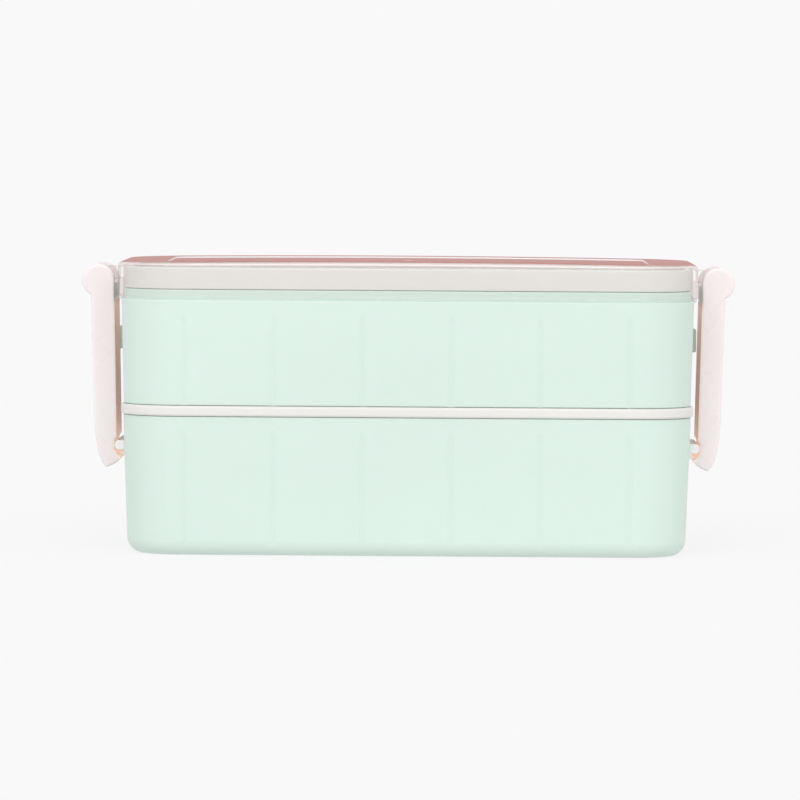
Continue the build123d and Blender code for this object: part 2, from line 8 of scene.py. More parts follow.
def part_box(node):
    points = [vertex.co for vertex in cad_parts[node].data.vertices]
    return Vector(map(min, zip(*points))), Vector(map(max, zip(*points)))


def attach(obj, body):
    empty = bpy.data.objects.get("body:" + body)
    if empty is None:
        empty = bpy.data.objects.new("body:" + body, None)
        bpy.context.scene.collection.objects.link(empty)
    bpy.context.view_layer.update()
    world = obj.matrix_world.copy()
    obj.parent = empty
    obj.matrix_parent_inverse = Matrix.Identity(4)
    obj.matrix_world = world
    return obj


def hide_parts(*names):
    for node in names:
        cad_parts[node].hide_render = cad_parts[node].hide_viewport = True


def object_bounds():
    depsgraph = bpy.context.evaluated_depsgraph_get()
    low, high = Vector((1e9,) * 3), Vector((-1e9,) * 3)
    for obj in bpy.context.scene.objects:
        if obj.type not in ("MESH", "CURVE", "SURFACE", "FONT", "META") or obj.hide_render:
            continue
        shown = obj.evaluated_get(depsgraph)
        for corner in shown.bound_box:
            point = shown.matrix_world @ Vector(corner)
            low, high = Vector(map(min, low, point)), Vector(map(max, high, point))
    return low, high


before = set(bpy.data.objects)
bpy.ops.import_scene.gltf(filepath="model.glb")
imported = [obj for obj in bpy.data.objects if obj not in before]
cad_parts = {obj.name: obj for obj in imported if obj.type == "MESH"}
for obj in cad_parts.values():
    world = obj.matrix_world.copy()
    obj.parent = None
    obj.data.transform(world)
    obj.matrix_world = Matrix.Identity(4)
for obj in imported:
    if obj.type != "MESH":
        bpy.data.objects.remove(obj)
cad_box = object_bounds()
scene = bpy.context.scene

# Lengths are in metres. MM turns the millimetre sizes below into metres.
MM = 0.001

# ---- the shared plan outline
# Every layer's outline is a rectangle grown evenly, so the corners are concentric.
CORNER_CENTRE = 77.9 * MM  # half length minus corner radius
END_TO_SIDE = 45.6 * MM  # half length minus half depth
CORNER_STEPS = 14
SIDE_STEPS = 3  # between two grooves

GROOVE_PITCH = 30.45 * MM
GROOVE_REACH = 1.5 * MM  # half a groove's width, out to where it fades into the wall
GROOVE_DEPTH = 0.34 * MM
GROOVE_TOP_MARGIN = 8.5 * MM  # from the shoulder down to where the groove begins to fade
GROOVE_END_STRETCH = 3.0  # how much longer the fade at the top is than at the sides
GROOVE_STEPS = 4

# ---- sizes of the pieces
TIER_EDGE = 0.4 * MM
TIER_WALL = 2.0 * MM
BASE_EDGE = 5.5 * MM
BASE_INSET = 1.7 * MM  # how far a tier's wall leans in from its top to its base
FLOOR = 2.8 * MM
FLOOR_EDGE = 4.0 * MM
FOOT_HALF = 88.0 * MM
FOOT_RECESS = 0.8 * MM
CAP_HALF = 82.0 * MM  # half length of the ring that closes a flat face

RIM_INSET = 1.1 * MM  # from the upper tier's shoulder in to its rim
RIM_HEIGHT = 3.5 * MM
RIM_WALL = 1.3 * MM
UPPER_BASE_INSET = 0.9 * MM
UPPER_FLOOR = 2.45 * MM
UPPER_FOOT_DROP = 1.75 * MM
UPPER_FOOT_INSET = 3.8 * MM

BAND_PLATE = 3.6 * MM
BAND_EDGE = 0.9 * MM
BAND_RECESS = 1.75 * MM
BAND_RECESS_INSET = 3.3 * MM
PLUG_DEPTH = 4.5 * MM
PLUG_EDGE = 0.4 * MM
BAND_PLUG_INSET = 4.1 * MM
BAND_PLUG_WALL = 2.9 * MM
BAND_SEAL_DEPTH = 1.4 * MM

TRAY_WALL = 1.5 * MM
TRAY_LIP = 0.7 * MM
TRAY_LEDGE = 1.5 * MM  # above the lower edge of the tray's wall
TRAY_FLOOR_DROP = 2.0 * MM
TRAY_UNDERSIDE_DROP = 3.5 * MM
TRAY_FLOOR_INSET = 5.4 * MM
TRAY_FLOOR_EDGE = 1.5 * MM
TRAY_PLUG_INSET = 2.4 * MM
TRAY_PLUG_WALL = 1.9 * MM
TRAY_SEAL_DEPTH = 1.5 * MM

SEAL_RISE = 0.9 * MM
SEAL_HEIGHT = 2.6 * MM
SEAL_LIP = 0.5 * MM

LID_HALF = 100.0 * MM
LID_WALL = 1.8 * MM
LID_EDGE = 1.5 * MM
LID_INNER_EDGE = 0.4 * MM
SKIRT_DROP = 12.4 * MM  # from the lid's top to its skirt's lower edge
PANEL_INSET = 17.0 * MM
PANEL_DEPTH = 0.5 * MM
LID_CROWN = 0.75 * MM  # how far the top droops from its middle to its ends
CROWN_STRIPS = 24
GATE_RADIUS = 1.6 * MM
GATE_DEPTH = 0.3 * MM
END_TAB = (0.9 * MM, 44.0 * MM, 1.7 * MM)

PIVOT_DROP = 7.7 * MM  # from the lid's top to the hinge pins' axis
KNUCKLE_RADIUS = 4.4 * MM
KNUCKLE_WIDTH = 24.0 * MM
KNUCKLE_ROOM = 5.7 * MM
KNUCKLE_SIDE_GAP = 0.3 * MM
WEB_RISE = 0.5 * MM  # of the web's underside above the pins' axis
PIN_RADIUS = 1.25 * MM
PIN_RUNNING_CLEARANCE = 0.05 * MM
PIN_SEAT = 0.02 * MM
PIN_CHAMFER = 0.25 * MM

EAR_RADIUS = 5.6 * MM
EAR_SKIN = 1.5 * MM
LATCH_EDGE = 0.8 * MM
LATCH_EDGE_STEPS = 4
LATCH_SIDE = 2.0 * MM
LATCH_WALL = 1.8 * MM
ARM_OUTER = 2.4 * MM  # from the pins' axis out to the arm's outer face
ARM_INNER = 5.6 * MM
ARM_LEAN = 1.2 * MM  # how far the outer face leans in from its top to the toe
FOOT_LEAN = 1.0 * MM
KNEE_DROP = 52.3 * MM
TOE_INSET = 3.6 * MM
TOE_RISE = 19.6 * MM  # from the tip up to where the outer face starts to curve in
HEEL_X = 2.3 * MM  # from the nose of the hook
HEEL_RISE = 0.9 * MM
HOOK_GAP = 2.4 * MM
NOTCH_DEPTH = 0.8 * MM
NOSE = 0.8 * MM

LEDGE_SIZE = (3.4 * MM, 22.0 * MM, 8.0 * MM)
LEDGE_MIDDLE_Z = 73.4 * MM
CATCH_PAD_MARGIN = 2.0 * MM
CATCH_PAD_REACH = 98.3 * MM
SMALL_EDGE = 0.5 * MM

RIB_HALF_LENGTH = 60 * MM
RIB_HALF_WIDTH = 0.7 * MM
RIB_HEIGHT = 2.4 * MM
RIB_X = -22 * MM
RIB_Y = (-8 * MM, 26 * MM)
VENT_HOLE = 2 * MM
CUT_REACH = 20 * MM  # how far a bore's cutter runs past its middle

NECK_X = 20 * MM
NECK_HALF = 3.4 * MM
BUTT_HALF = 6.2 * MM
HANDLE_RISE = 4.6 * MM
TIP_WIDTH = 3.6 * MM
GRIP_DEPTH = 0.2 * MM

# ---- looks, light, camera
# How far the latch's painted recess glow looks for occluding surfaces.
PAINTED_GLOW_REACH = 12.0 * MM
# How sharply the clear lid's edge-on colour rises towards grazing: a pink tint on the walls, a painted
# reflection on the top.
EDGE_TINT_AND_REFLECTION_POWER = 5.0
LEAST_HAZE = 0.01
WALL_HAZE = 0.3
# How much of the rounded rim's colour is its painted highlight.
RIM_HIGHLIGHT_SHARE = 0.75
POLISH = 0.04
FLOOR_SHADE = (0.12, 0.12, 0.12)
FLOOR_GLOW = 0.803  # the floor is a light table, so the object hardly shades it
WORLD_SHADE = (0.947, 0.947, 0.947)
LIGHT_SPREAD = 40
LENS = 264.0
SENSOR = 36.0
CAMERA_DISTANCE = 2.054
CAMERA_HEIGHT = 0.147
CAMERA_YAW = 0.4
CAMERA_ROLL = 0.39
CAMERA_SHIFT = (-0.0097, 0.0038)
LIGHTS = (("key", -14, 35, 0.9), ("fill", 22, 30, 0.5))  # azimuth, elevation, strength


# ---- mesh helpers
def piece_from(name, mesh, body, slot, material, *replaced, smooth_angle=32):
    """Finish a mesh as a named piece: shading, material, body and the nodes it stands for."""
    for polygon in mesh.polygons:
        polygon.use_smooth = True
    mesh.set_sharp_from_angle(angle=radians(smooth_angle))
    piece = bpy.data.objects.new(name, mesh)
    scene.collection.objects.link(piece)
    piece.data.materials.clear()
    piece.data.materials.append(material)
    normals = piece.modifiers.new("even_shading", "WEIGHTED_NORMAL")
    normals.keep_sharp = True
    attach(piece, body)
    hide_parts(*replaced)
    return piece


def mesh_from(shape):
    """Turn a bmesh into a mesh with its faces turned outwards."""
    bmesh.ops.recalc_face_normals(shape, faces=shape.faces)
    mesh = bpy.data.meshes.new("shape")
    shape.to_mesh(mesh)
    shape.free()
    return mesh


def combined(mesh, tools, operation):
    """Join tool meshes to a mesh, or cut them from it, and return the closed result."""
    base = bpy.data.objects.new("base", mesh)
    scene.collection.objects.link(base)
    helpers = []
    for tool in tools:
        helper = bpy.data.objects.new("tool", tool)
        scene.collection.objects.link(helper)
        step = base.modifiers.new("step", "BOOLEAN")
        step.operation = operation
        step.solver = "EXACT"
        step.object = helper
        helpers.append(helper)
    depsgraph = bpy.context.evaluated_depsgraph_get()
    result = bpy.data.meshes.new_from_object(base.evaluated_get(depsgraph))
    for leftover in (base, *helpers):
        bpy.data.objects.remove(leftover)
    return result


def rounded(corners, steps=6):
    """Points along a path whose corners, each (across, up, radius), are rounded by arcs."""
    points = []
    for index, (x, z, radius) in enumerate(corners):
        corner = Vector((x, z))
        if radius == 0:
            points.append(corner)
            continue
        before = Vector(corners[index - 1][:2]) - corner
        after = Vector(corners[(index + 1) % len(corners)][:2]) - corner
        half_angle = before.angle(after) / 2
        reach = radius / tan(half_angle)
        start = corner + before.normalized() * reach
        end = corner + after.normalized() * reach
        middle = (start + end) / 2
        centre = corner + (middle - corner).normalized() * (radius / sin(half_angle))
        first, last = start - centre, end - centre
        turn = first.angle_signed(last)
        for step in range(steps + 1):
            points.append(centre + Matrix.Rotation(-turn * step / steps, 2) @ first)
    return points


def outline_columns():
    """Yield (foot point, outward direction, distance from the nearest groove) round the outline."""
    half_x, half_y = CORNER_CENTRE, CORNER_CENTRE - END_TO_SIDE
    offsets = [GROOVE_REACH * step / GROOVE_STEPS for step in range(-GROOVE_STEPS, GROOVE_STEPS + 1)]

    def side(half, grooves):
        """Places along a side, each with its distance from the nearest groove's middle."""
        places = [-half]
        for groove in grooves:
            gap = groove - GROOVE_REACH - places[-1]
            places += [places[-1] + gap * step / SIDE_STEPS for step in range(1, SIDE_STEPS)]
            places += [groove + offset for offset in offsets]
        gap = half - places[-1]
        places += [places[-1] + gap * step / SIDE_STEPS for step in range(1, SIDE_STEPS + 1)]
        return [(place, min(abs(place - groove) for groove in grooves)) for place in places]

    long_grooves = [step * GROOVE_PITCH for step in (-2.5, -1.5, -0.5, 0.5, 1.5, 2.5)]
    end_grooves = [-GROOVE_PITCH, GROOVE_PITCH]
    columns = []
    for quarter, (half, across, grooves) in enumerate(
        (
            (half_x, half_y, long_grooves),
            (half_y, half_x, end_grooves),
            (half_x, half_y, long_grooves),
            (half_y, half_x, end_grooves),
        )
    ):
        turn = Matrix.Rotation(quarter * pi / 2, 2)
        for place, distance in side(half, grooves):
            columns.append((turn @ Vector((place, -across)), turn @ Vector((0, -1)), distance))
        for step in range(1, CORNER_STEPS):
            angle = step / CORNER_STEPS * pi / 2
            direction = turn @ Vector((sin(angle), -cos(angle)))
            columns.append((turn @ Vector((half, -across)), direction, inf))
    return columns


def layer(profile, relief=None, closed=False):
    """Sweep a profile of (half length, height) points round the shared outline.

    The profile runs from the underside to the inside. relief gives the largest half length
    at a distance from the nearest groove and a height. A closed profile makes a ring;
    any other is closed by a flat face at each end.
    """
    shape = bmesh.new()
    rings = []
    columns = outline_columns()
    for half, z in profile:
        ring = []
        for foot, direction, distance in columns:
            reach = half if relief is None else min(half, relief(distance, z))
            point = foot + direction * (reach - CORNER_CENTRE)
            ring.append(shape.verts.new((point.x, point.y, z)))
        rings.append(ring)
    count = len(columns)
    pairs = list(zip(rings, rings[1:]))
    if closed:
        pairs.append((rings[-1], rings[0]))
    for lower, upper in pairs:
        for index in range(count):
            following = (index + 1) % count
            shape.faces.new((lower[index], lower[following], upper[following], upper[index]))
    if not closed:
        shape.faces.new(rings[0])
        shape.faces.new(rings[-1])
    return mesh_from(shape)


def with_levels(profile, levels):
    """Add points at given heights to the first stretch of a profile that climbs past them."""
    points = list(profile)
    for level in levels:
        for index in range(len(points) - 1):
            low, high = points[index], points[index + 1]
            if low.y < level < high.y:
                share = (level - low.y) / (high.y - low.y)
                points.insert(index + 1, low.lerp(high, share))
                break
    return points


def grooved(base_half, base_z, top_half, shoulder):
    """The wall's half length at a place, less the depth of its shallow vertical grooves."""
    start = shoulder - GROOVE_TOP_MARGIN

    def relief(distance, z):
        wall = base_half + (top_half - base_half) * (z - base_z) / (shoulder - base_z)
        away = hypot(distance, max(0, z - start) / GROOVE_END_STRETCH)
        if away >= GROOVE_REACH:
            return wall
        return wall - GROOVE_DEPTH * (1 + cos(pi * away / GROOVE_REACH)) / 2

    fade = GROOVE_REACH * GROOVE_END_STRETCH
    levels = [start + fade * step / (2 * GROOVE_STEPS) for step in range(2 * GROOVE_STEPS + 1)]
    return relief, levels


def block(centre, size, edge, steps=3):
    """A box with rounded edges."""
    shape = bmesh.new()
    bmesh.ops.create_cube(shape, size=1)
    bmesh.ops.scale(shape, vec=size, verts=shape.verts)
    bmesh.ops.translate(shape, vec=centre, verts=shape.verts)
    bmesh.ops.bevel(
        shape, geom=shape.edges[:], offset=edge, segments=steps, profile=0.5, affect="EDGES"
    )
    return mesh_from(shape)


def slab(points, axis, low, high, edge=0.0, steps=3):
    """A flat plate with the given outline, from low to high along axis, its rims rounded."""
    shape = bmesh.new()
    corners = []
    for across, up in points:
        place = (across, low, up) if axis == "Y" else (low, across, up)
        if axis == "Z":
            place = (across, up, low)
        corners.append(shape.verts.new(place))
    face = shape.faces.new(corners)
    pushed = bmesh.ops.extrude_face_region(shape, geom=[face])["geom"]
    moved = [item for item in pushed if isinstance(item, bmesh.types.BMVert)]
    shift = Vector([(high - low) if axis == letter else 0 for letter in "XYZ"])
    bmesh.ops.translate(shape, vec=shift, verts=moved)
    if edge:
        letter = "XYZ".index(axis)
        rims = [e for e in shape.edges if e.verts[0].co[letter] == e.verts[1].co[letter]]
        bmesh.ops.bevel(
            shape, geom=rims, offset=edge, segments=steps, profile=0.5, affect="EDGES"
        )
    return mesh_from(shape)


def turned(profile, centre, axis="Z", steps=48):
    """A solid of revolution from (radius, along) points, starting and ending on the axis."""
    shape = bmesh.new()
    rings = []
    for radius, along in profile:
        ring = []
        for step in range(steps if radius else 1):
            angle = 2 * pi * step / steps
            a, b = radius * cos(angle), radius * sin(angle)
            offset = Vector((a, b, along)) if axis == "Z" else Vector((a, along, b))
            ring.append(shape.verts.new(Vector(centre) + offset))
        rings.append(ring)
    for lower, upper in zip(rings, rings[1:]):
        for index in range(steps):
            following = (index + 1) % steps
            corners = [lower[index % len(lower)], lower[following % len(lower)]]
            corners += [upper[following % len(upper)], upper[index % len(upper)]]
            unique = list(dict.fromkeys(corners))
            shape.faces.new(unique)
    return mesh_from(shape)


def arc(centre, radius, start, end, steps):
    """Points on a circular arc between two angles in degrees."""
    angles = [radians(start + (end - start) * step / steps) for step in range(steps + 1)]
    return [Vector(centre) + Vector((cos(a), sin(a))) * radius for a in angles]


def pin_axis():
    """The middle of the right hinge pin, whose axis runs along Y."""
    low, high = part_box("right_hinge_pin")
    return (low + high) / 2


# ---- materials
class Nodes:
    """A short way to build one material's node tree."""

    def __init__(self, name):
        self.material = bpy.data.materials.new(name)
        self.material.use_nodes = True
        self.tree = self.material.node_tree
        self.shader = self.tree.nodes["Principled BSDF"]
        self.output = self.tree.nodes["Material Output"]
        place = self.tree.nodes.new("ShaderNodeTexCoord")
        self.place = place.outputs["Object"]
        self.normal = place.outputs["Normal"]

    def link(self, source, socket):
        """Feed one of the shader's sockets."""
        self.tree.links.new(source, self.shader.inputs[socket])

    def part(self, source, letter):
        """One coordinate of a vector."""
        node = self.tree.nodes.new("ShaderNodeSeparateXYZ")
        self.tree.links.new(source, node.inputs["Vector"])
        return node.outputs[letter]

    def noise(self, scale, detail=2.0, stretch=None):
        """Noise in the object's own space, in features per metre, drawn out along an axis."""
        source = self.place
        if stretch is not None:
            mapping = self.tree.nodes.new("ShaderNodeMapping")
            mapping.inputs["Scale"].default_value = stretch
            self.tree.links.new(self.place, mapping.inputs["Vector"])
            source = mapping.outputs["Vector"]
        node = self.tree.nodes.new("ShaderNodeTexNoise")
        node.inputs["Scale"].default_value = scale
        node.inputs["Detail"].default_value = detail
        self.tree.links.new(source, node.inputs["Vector"])
        return node.outputs["Fac"]

    def spread(self, source, low, high, start=0.3, end=0.7):
        """Spread part of a value's range, by default the middle of a noise, over another range."""
        node = self.tree.nodes.new("ShaderNodeMapRange")
        node.inputs["From Min"].default_value = start
        node.inputs["From Max"].default_value = end
        node.inputs["To Min"].default_value = low
        node.inputs["To Max"].default_value = high
        self.tree.links.new(source, node.inputs["Value"])
        return node.outputs["Result"]

    def blend(self, factor, first, second):
        """Mix two colours, each a socket or a tuple."""
        node = self.tree.nodes.new("ShaderNodeMix")
        node.data_type = "RGBA"
        self.tree.links.new(factor, node.inputs["Factor"])
        for key, value in (("A", first), ("B", second)):
            socket = next(s for s in node.inputs if s.name == key and s.type == "RGBA")
            if isinstance(value, tuple):
                socket.default_value = (*value, 1)
            else:
                self.tree.links.new(value, socket)
        return next(s for s in node.outputs if s.type == "RGBA")

    def arithmetic(self, operation, source, value):
        """Apply a sum to a socket and a second socket or number."""
        node = self.tree.nodes.new("ShaderNodeMath")
        node.operation = operation
        self.tree.links.new(source, node.inputs[0])
        if isinstance(value, float):
            node.inputs[1].default_value = value
        else:
            self.tree.links.new(value, node.inputs[1])
        return node.outputs["Value"]

    def mixed(self, factor, first, second):
        """Mix two shaders by a socket or a number."""
        node = self.tree.nodes.new("ShaderNodeMixShader")
        if isinstance(factor, float):
            node.inputs["Fac"].default_value = factor
        else:
            self.tree.links.new(factor, node.inputs["Fac"])
        self.tree.links.new(first, node.inputs[1])
        self.tree.links.new(second, node.inputs[2])
        return node.outputs["Shader"]

    def bumps(self, layers):
        """Chain bump nodes, each (height socket, depth in metres), into the shader."""
        normal = None
        for height, depth in layers:
            node = self.tree.nodes.new("ShaderNodeBump")
            node.inputs["Distance"].default_value = depth
            self.tree.links.new(height, node.inputs["Height"])
            if normal is not None:
                self.tree.links.new(normal, node.inputs["Normal"])
            normal = node.outputs["Normal"]
        self.tree.links.new(normal, self.shader.inputs["Normal"])

    def set(self, **values):
        """Set plain values on the shader's own sockets."""
        for key, value in values.items():
            socket = self.shader.inputs[key.replace("_", " ")]
            socket.default_value = value


def moulded(
    name,
    colour,
    gloss,
    flow=0.02,
    peel=9e-6,
    grain=3e-6,
    glow=0.12,
    recess=None,
    painted_glow_top=0.0,
):
    """Injection-moulded plastic: faint flow shading, orange peel and a fine eroded grain.

    glow is how much of the light spreads under the skin. recess is the colour of a painted
    glow: emission put into deep recesses below the top height it is given, standing in for
    light that would come through the thin walls.
    """
    nodes = Nodes(name)
    tint = nodes.spread(nodes.noise(9, 3, (1, 1, 2.5)), 0, 1)
    darker = tuple(channel * (1 - flow) for channel in colour)
    lighter = tuple(min(1, channel * (1 + flow)) for channel in colour)
    shade = nodes.blend(tint, darker, lighter)
    specks = nodes.spread(nodes.noise(2600, 1), 0, 0.5)
    shade = nodes.blend(specks, shade, tuple(channel * (1 - flow) for channel in colour))
    nodes.link(shade, "Base Color")
    rough = nodes.spread(nodes.noise(60, 4), gloss - 0.05, gloss + 0.05)
    nodes.link(rough, "Roughness")
    nodes.bumps(((nodes.noise(420, 1), peel), (nodes.noise(3000, 2), grain)))
    nodes.set(
        IOR=1.49,
        Subsurface_Weight=glow,
        Subsurface_Radius=(1.0, 0.95, 0.9),
        Subsurface_Scale=0.003,
    )
    if recess:
        # Painted glow: an emission that grows where occlusion is deep, below the given height,
        # standing in for light through the thin walls.
        shut = nodes.tree.nodes.new("ShaderNodeAmbientOcclusion")
        shut.samples = 6
        shut.inputs["Distance"].default_value = PAINTED_GLOW_REACH
        height = nodes.part(nodes.place, "Z")
        below = nodes.spread(height, 1, 0, painted_glow_top - 4 * MM, painted_glow_top)
        # The share of the painted glow, high in deep recesses.
        through = nodes.spread(shut.outputs["AO"], 1, 0, 0.28, 0.5)
        through = nodes.arithmetic("MULTIPLY", through, below)
        light = nodes.blend(through, (0, 0, 0), recess)
        nodes.link(light, "Emission Color")
        nodes.set(Emission_Strength=1.0)
    return nodes.material


def clear_plastic(name, passed, painted_top_reflection, wall_tint, painted_rim_highlight, painted_lower_highlight, top_start):
    """Polished clear plastic: colourless face on, and tinted where it is seen edge on.

    On level faces above top_start the edge-on colour is a deep painted reflection, reddish
    brown; elsewhere it is a faint pink tint. The rounded rim of the top and the downward
    faces of the lower edges carry painted highlights.
    """
    nodes = Nodes(name)
    tree = nodes.tree
    level = nodes.part(nodes.normal, "Z")
    height = nodes.part(nodes.place, "Z")
    above = nodes.spread(height, 0, 1, top_start, top_start + 0.3 * MM)
    facing_up = nodes.spread(level, 0, 1, 0.5, 0.95)
    facing_up = nodes.arithmetic("MULTIPLY", facing_up, above)
    # Painted highlight on faces that look downwards, such as the skirt's lower edge.
    facing_down = nodes.spread(level, 1, 0, -0.9, -0.2)
    # Painted highlight on the rounded rim of the top: faces that lean a little upwards turn light.
    rim = nodes.spread(level, 0, 1, 0.05, 0.3)
    rim = nodes.arithmetic("MULTIPLY", rim, nodes.spread(level, RIM_HIGHLIGHT_SHARE, 0, 0.6, 0.95))
    rim = nodes.arithmetic("MULTIPLY", rim, above)
    # Seen edge on, level faces on top turn wholly to a painted reddish-brown reflection; walls take a
    # faint pink tint.
    shade = nodes.blend(facing_up, wall_tint, painted_top_reflection)
    shade = nodes.blend(facing_down, shade, painted_lower_highlight)
    shade = nodes.blend(rim, shade, painted_rim_highlight)
    clouds = nodes.spread(nodes.noise(14, 2), 0, 0.06)
    shade = nodes.blend(clouds, shade, (0, 0, 0))
    nodes.link(shade, "Base Color")
    nodes.bumps(((nodes.noise(130, 1), 6e-6),))
    nodes.set(Roughness=0.6, Specular_IOR_Level=0.0)
    clear = tree.nodes.new("ShaderNodeBsdfTransparent")
    clear.inputs["Color"].default_value = (*passed, 1)
    edge = tree.nodes.new("ShaderNodeLayerWeight")
    edge.inputs["Blend"].default_value = 0.5
    steep = nodes.arithmetic("POWER", edge.outputs["Facing"], EDGE_TINT_AND_REFLECTION_POWER)
    strength = nodes.spread(facing_up, WALL_HAZE, 1, 0, 1)
    share = nodes.arithmetic("MULTIPLY", steep, strength)
    share = nodes.spread(share, LEAST_HAZE, 1, 0, 1)
    share = nodes.arithmetic("MAXIMUM", share, rim)
    body = nodes.mixed(share, clear.outputs["BSDF"], nodes.shader.outputs["BSDF"])
    gloss = tree.nodes.new("ShaderNodeBsdfGlossy")
    tree.links.new(nodes.spread(nodes.noise(90, 3), 0.04, 0.09), gloss.inputs["Roughness"])
    polished = nodes.mixed(POLISH, body, gloss.outputs["BSDF"])
    tree.links.new(polished, nodes.output.inputs["Surface"])
    return nodes.material


def drawn_steel(name):
    """Drawn stainless rod, with fine lines along it."""
    nodes = Nodes(name)
    lines = nodes.noise(900, 3, (1, 0.03, 1))
    shade = nodes.blend(lines, (0.52, 0.52, 0.53), (0.72, 0.72, 0.73))
    nodes.link(shade, "Base Color")
    nodes.link(nodes.spread(lines, 0.18, 0.34), "Roughness")
    nodes.bumps(((lines, 3e-6),))
    nodes.set(Metallic=1.0)
    return nodes.material


def rubbery(name, colour):
    """Soft translucent silicone with a dusty, slightly uneven skin."""
    nodes = Nodes(name)
    dust = nodes.spread(nodes.noise(500, 4), 0, 1)
    shade = nodes.blend(dust, colour, tuple(channel * 0.95 for channel in colour))
    nodes.link(shade, "Base Color")
    nodes.link(nodes.spread(dust, 0.5, 0.65), "Roughness")
    nodes.bumps(((nodes.noise(900, 2), 1e-5),))
    nodes.set(
        IOR=1.41,
        Subsurface_Weight=0.4,
        Subsurface_Radius=(1.0, 1.0, 0.95),
        Subsurface_Scale=0.004,
    )
    return nodes.material


MINT = moulded("tier_mint", (0.575, 0.69, 0.63), 0.38)
WHITE = moulded("warm_white", (0.67, 0.66, 0.635), 0.40)
LATCH_PINK = moulded(
    "latch_pink",
    (0.77, 0.70, 0.705),
    0.30,
    peel=3e-6,
    grain=1.5e-6,
    glow=0.2,
    # The colour of the painted glow in the latch's channel, below its ears.
    recess=(0.38, 0.253, 0.195),
    painted_glow_top=pin_axis().z - EAR_RADIUS,
)
# A brighter white than warm_white: painted light that makes up for the shade the catch bars sit in,
# between latch and box.
BAR_WHITE_PAINTED_LIT = moulded("bar_white_painted_lit", (0.84, 0.83, 0.81), 0.35)
DIVIDER_PINK = moulded("divider_pink", (0.70, 0.56, 0.555), 0.42, grain=5e-6)
CUTLERY_MINT = moulded("cutlery_mint", (0.50, 0.66, 0.59), 0.24, peel=5e-6, grain=1e-6)
CLEAR_PINK = clear_plastic(
    "clear_pink",
    (0.992, 0.99, 0.987),
    # painted reflection on the top, seen edge on
    painted_top_reflection=(0.464, 0.236, 0.211),
    wall_tint=(0.62, 0.44, 0.42),
    # painted highlight on the top's rounded rim
    painted_rim_highlight=(0.80, 0.785, 0.785),
    # painted highlight on downward faces
    painted_lower_highlight=(0.80, 0.84, 0.80),
    top_start=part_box("outer_lid")[1].z - LID_EDGE - 0.2 * MM,
)
STEEL = drawn_steel("pin_steel")
SILICONE = rubbery("silicone", (0.80, 0.80, 0.78))


# ---- tiers
def make_lower_tier():
    """The deep lower box, with a pad on each end wall that holds a catch bar."""
    low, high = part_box("lower_tier")
    top_half = high.y + END_TO_SIDE
    base_half = top_half - BASE_INSET
    inner_base = base_half - TIER_WALL
    profile = rounded(
        (
            (CAP_HALF, low.z + FOOT_RECESS, 0),
            (FOOT_HALF, low.z + FOOT_RECESS, 0.3 * MM),
            (FOOT_HALF, low.z, 0.3 * MM),
            (base_half, low.z, BASE_EDGE),
            (top_half, high.z, TIER_EDGE),
            (top_half - TIER_WALL, high.z, TIER_EDGE),
            (inner_base, low.z + FLOOR, FLOOR_EDGE),
            (CAP_HALF, low.z + FLOOR, 0),
        )
    )
    relief, levels = grooved(base_half, low.z, top_half, high.z)
    mesh = layer(with_levels(profile, levels), relief)
    pads = []
    for name in ("left_catch_bar", "right_catch_bar"):
        bar_low, bar_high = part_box(name)
        side = 1 if bar_low.x > 0 else -1
        root = min(abs(bar_low.x), abs(bar_high.x))
        size = (
            CATCH_PAD_REACH - root,
            bar_high.y - bar_low.y + 2 * CATCH_PAD_MARGIN,
            bar_high.z - bar_low.z + 2 * CATCH_PAD_MARGIN,
        )
        centre = (side * (root + size[0] / 2), 0, (bar_low.z + bar_high.z) / 2)
        pads.append(block(centre, size, SMALL_EDGE))
    mesh = combined(mesh, pads, "UNION")
    piece_from("mint_lower_tier", mesh, "lower_tier", "tier_plastic", MINT, "lower_tier")


def make_upper_tier():
    """The shallower upper box: a foot that nests in the middle lid, and a thin rim on top."""
    low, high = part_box("upper_tier")
    top_half = high.y + END_TO_SIDE
    shoulder = high.z - RIM_HEIGHT
    base_z = low.z + UPPER_FOOT_DROP
    base_half = top_half - UPPER_BASE_INSET
    foot_half = top_half - UPPER_FOOT_INSET
    rim_half = top_half - RIM_INSET
    inner_base = rim_half - RIM_WALL - (high.z - base_z) * tan(radians(1))
    profile = rounded(
        (
            (CAP_HALF, low.z + FOOT_RECESS, 0),
            (FOOT_HALF, low.z + FOOT_RECESS, 0.3 * MM),
            (FOOT_HALF, low.z, 0.3 * MM),
            (foot_half, low.z, SMALL_EDGE),
            (foot_half, base_z, 0.3 * MM),
            (base_half, base_z, TIER_EDGE),
            (top_half, shoulder, TIER_EDGE),
            (rim_half, shoulder, 0.2 * MM),
            (rim_half, high.z, SMALL_EDGE),
            (rim_half - RIM_WALL, high.z, SMALL_EDGE),
            (inner_base, low.z + UPPER_FLOOR, FLOOR_EDGE),
            (CAP_HALF, low.z + UPPER_FLOOR, 0),
        )
    )
    relief, levels = grooved(base_half, base_z, top_half, shoulder)
    mesh = layer(with_levels(profile, levels), relief)
    ledges = []
    for side in (-1, 1):
        centre = (side * (high.x - LEDGE_SIZE[0] / 2), 0, LEDGE_MIDDLE_Z)
        ledges.append(block(centre, LEDGE_SIZE, SMALL_EDGE))
    mesh = combined(mesh, ledges, "UNION")
    piece_from("mint_upper_tier", mesh, "upper_tier", "tier_plastic", MINT, "upper_tier")


